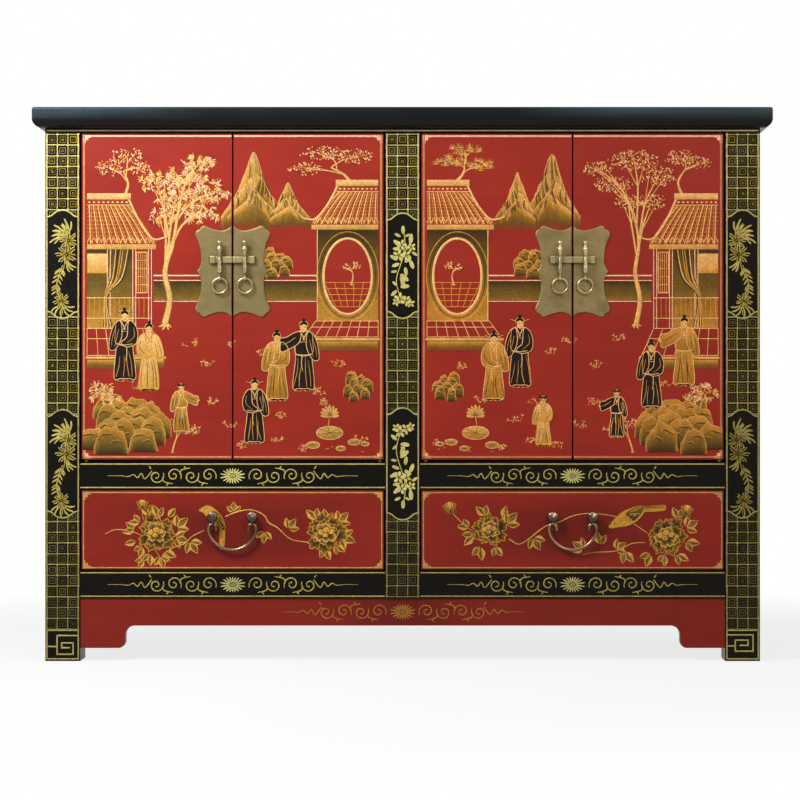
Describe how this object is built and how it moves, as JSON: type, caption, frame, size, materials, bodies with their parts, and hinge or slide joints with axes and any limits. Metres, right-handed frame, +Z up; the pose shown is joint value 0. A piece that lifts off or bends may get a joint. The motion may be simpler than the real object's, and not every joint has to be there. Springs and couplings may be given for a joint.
{
  "type": "sideboard",
  "caption": "Lacquered sideboard with pairs of pivot-hung painted doors over drawers, scalloped lock plates with ring pulls, bail handles and a footed apron.",
  "frame": {"origin": "on the floor, under the middle of the top board", "axes": "+Z up, the front faces -Y, +X along the width"},
  "size_m": [1.2, 0.4, 0.9],
  "materials": {
    "red_lacquer": "satin lacquer",
    "black_lacquer": "satin lacquer",
    "plain_wood": "matt stain",
    "antique_brass": "aged, brushed",
    "dark_bronze": "aged, worn bright on edges"
  },
  "bodies": {
    "carcass": {"apron_front": "red_lacquer", "aprons_side": "red_lacquer", "back_panel": "plain_wood", "centre_partition": "plain_wood", "centre_stile": "black_lacquer", "cupboard_floors": "plain_wood", "drawer_runners": "plain_wood", "low_rail_back": "black_lacquer", "low_rail_left": "black_lacquer", "low_rail_right": "black_lacquer", "low_rails_side": "black_lacquer", "mid_rail_left": "black_lacquer", "mid_rail_right": "black_lacquer", "post_back_left": "black_lacquer", "post_back_right": "black_lacquer", "post_front_left": "black_lacquer", "post_front_right": "black_lacquer", "shelves": "plain_wood", "side_panel_left": "red_lacquer", "side_panel_right": "red_lacquer", "top_board": "black_lacquer", "top_rail_back": "black_lacquer", "top_rail_front": "black_lacquer", "top_rails_side": "black_lacquer"},
    "door_left_outer": {"door_left_outer": "red_lacquer", "pivot_pins_left_outer": "plain_wood", "lock_plate_left_outer": "antique_brass", "lock_staple_left_outer": "antique_brass"},
    "ring_left_outer": {"ring_pull_left_outer": "dark_bronze"},
    "bar_left_outer": {"lock_bar_left_outer": "antique_brass"},
    "door_left_inner": {"door_left_inner": "red_lacquer", "pivot_pins_left_inner": "plain_wood", "lock_plate_left_inner": "antique_brass", "lock_staple_left_inner": "antique_brass"},
    "ring_left_inner": {"ring_pull_left_inner": "dark_bronze"},
    "bar_left_inner": {"lock_bar_left_inner": "antique_brass"},
    "door_right_inner": {"door_right_inner": "red_lacquer", "pivot_pins_right_inner": "plain_wood", "lock_plate_right_inner": "antique_brass", "lock_staple_right_inner": "antique_brass"},
    "ring_right_inner": {"ring_pull_right_inner": "dark_bronze"},
    "bar_right_inner": {"lock_bar_right_inner": "antique_brass"},
    "door_right_outer": {"door_right_outer": "red_lacquer", "pivot_pins_right_outer": "plain_wood", "lock_plate_right_outer": "antique_brass", "lock_staple_right_outer": "antique_brass"},
    "ring_right_outer": {"ring_pull_right_outer": "dark_bronze"},
    "bar_right_outer": {"lock_bar_right_outer": "antique_brass"},
    "drawer_left": {"drawer_front_left": "red_lacquer", "drawer_sides_left": "plain_wood", "drawer_back_left": "plain_wood", "drawer_bottom_left": "plain_wood", "bail_studs_left": "dark_bronze"},
    "handle_left": {"bail_left": "dark_bronze"},
    "drawer_right": {"drawer_front_right": "red_lacquer", "drawer_sides_right": "plain_wood", "drawer_back_right": "plain_wood", "drawer_bottom_right": "plain_wood", "bail_studs_right": "dark_bronze"},
    "handle_right": {"bail_right": "dark_bronze"}
  },
  "joints": [
    {"name": "door_left_outer_swing", "type": "hinge", "parent": "carcass", "child": "door_left_outer", "pos_m": [-0.516, -0.17, 0.593], "axis": [0, 0, -1], "range_deg": [0, 88]},
    {"name": "ring_left_outer_swing", "type": "hinge", "parent": "door_left_outer", "child": "ring_left_outer", "pos_m": [-0.29725, -0.1845, 0.6225], "axis": [-1, 0, 0], "range_deg": [-4, 80]},
    {"name": "bar_left_outer_slide", "type": "slide", "parent": "door_left_outer", "child": "bar_left_outer", "axis": [-1, 0, 0], "range_m": [0, 0.018]},
    {"name": "door_left_inner_swing", "type": "hinge", "parent": "carcass", "child": "door_left_inner", "pos_m": [-0.0375, -0.17, 0.593], "axis": [0, 0, 1], "range_deg": [0, 88]},
    {"name": "ring_left_inner_swing", "type": "hinge", "parent": "door_left_inner", "child": "ring_left_inner", "pos_m": [-0.25625, -0.1845, 0.6225], "axis": [-1, 0, 0], "range_deg": [-4, 80]},
    {"name": "bar_left_inner_slide", "type": "slide", "parent": "door_left_inner", "child": "bar_left_inner", "axis": [1, 0, 0], "range_m": [0, 0.018]},
    {"name": "door_right_inner_swing", "type": "hinge", "parent": "carcass", "child": "door_right_inner", "pos_m": [0.0375, -0.17, 0.593], "axis": [0, 0, -1], "range_deg": [0, 88]},
    {"name": "ring_right_inner_swing", "type": "hinge", "parent": "door_right_inner", "child": "ring_right_inner", "pos_m": [0.25625, -0.1845, 0.6225], "axis": [-1, 0, 0], "range_deg": [-4, 80]},
    {"name": "bar_right_inner_slide", "type": "slide", "parent": "door_right_inner", "child": "bar_right_inner", "axis": [-1, 0, 0], "range_m": [0, 0.018]},
    {"name": "door_right_outer_swing", "type": "hinge", "parent": "carcass", "child": "door_right_outer", "pos_m": [0.516, -0.17, 0.593], "axis": [0, 0, 1], "range_deg": [0, 88]},
    {"name": "ring_right_outer_swing", "type": "hinge", "parent": "door_right_outer", "child": "ring_right_outer", "pos_m": [0.29725, -0.1845, 0.6225], "axis": [-1, 0, 0], "range_deg": [-4, 80]},
    {"name": "bar_right_outer_slide", "type": "slide", "parent": "door_right_outer", "child": "bar_right_outer", "axis": [1, 0, 0], "range_m": [0, 0.018]},
    {"name": "drawer_left_slide", "type": "slide", "parent": "carcass", "child": "drawer_left", "axis": [0, -1, 0], "range_m": [0, 0.28]},
    {"name": "handle_left_swing", "type": "hinge", "parent": "drawer_left", "child": "handle_left", "pos_m": [-0.27675, -0.186, 0.2233], "axis": [-1, 0, 0], "range_deg": [-4, 90]},
    {"name": "drawer_right_slide", "type": "slide", "parent": "carcass", "child": "drawer_right", "axis": [0, -1, 0], "range_m": [0, 0.28]},
    {"name": "handle_right_swing", "type": "hinge", "parent": "drawer_right", "child": "handle_right", "pos_m": [0.27675, -0.186, 0.2233], "axis": [-1, 0, 0], "range_deg": [-4, 90]}
  ]
}
